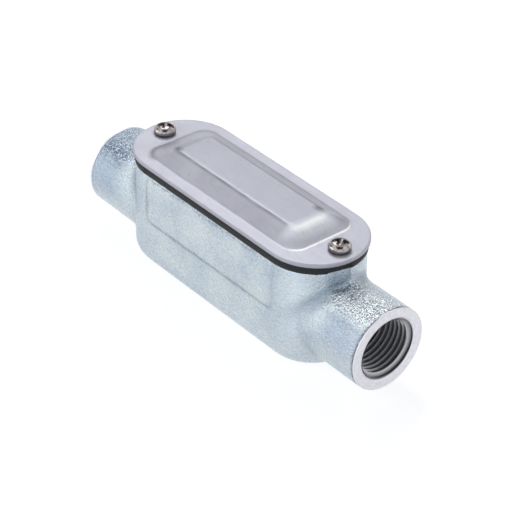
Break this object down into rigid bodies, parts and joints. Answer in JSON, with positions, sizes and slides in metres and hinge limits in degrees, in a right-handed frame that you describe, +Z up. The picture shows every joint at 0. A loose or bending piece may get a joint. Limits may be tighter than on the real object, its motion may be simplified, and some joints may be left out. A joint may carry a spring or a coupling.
{
  "type": "conduit body",
  "caption": "In-line cast conduit body with two internally threaded hubs, a rubber gasket and a raised stamped cover held by pan-head screws.",
  "frame": {"origin": "on the plane the body rests on, below the middle of the body", "axes": "+X along the two hubs towards the hub with the ground gate flat beside it, +Z up through the cover, -Y towards the wall with the raised panel"},
  "size_m": [0.1354, 0.0346, 0.0449],
  "materials": {
    "zinc_plated_casting": "bright zinc plate over a sand-cast grain",
    "gasket_rubber": "matte black neoprene",
    "cover_sheet": "matte grey plated sheet",
    "screw_steel": "polished stainless steel"
  },
  "bodies": {
    "housing": {"body": "zinc_plated_casting", "gasket": "gasket_rubber", "cover": "cover_sheet"},
    "screw_near": {"cover_screw_near": "screw_steel"},
    "screw_far": {"cover_screw_far": "screw_steel"}
  },
  "joints": [
    {"name": "cover_screw_near_turn", "type": "hinge", "parent": "housing", "child": "screw_near", "pos_m": [0.0437, 0, 0.0413], "axis": [0, 0, 1], "range_deg": [0, 3989]},
    {"name": "cover_screw_far_turn", "type": "hinge", "parent": "housing", "child": "screw_far", "pos_m": [-0.0437, 0, 0.0413], "axis": [0, 0, 1], "range_deg": [0, 3989]}
  ]
}
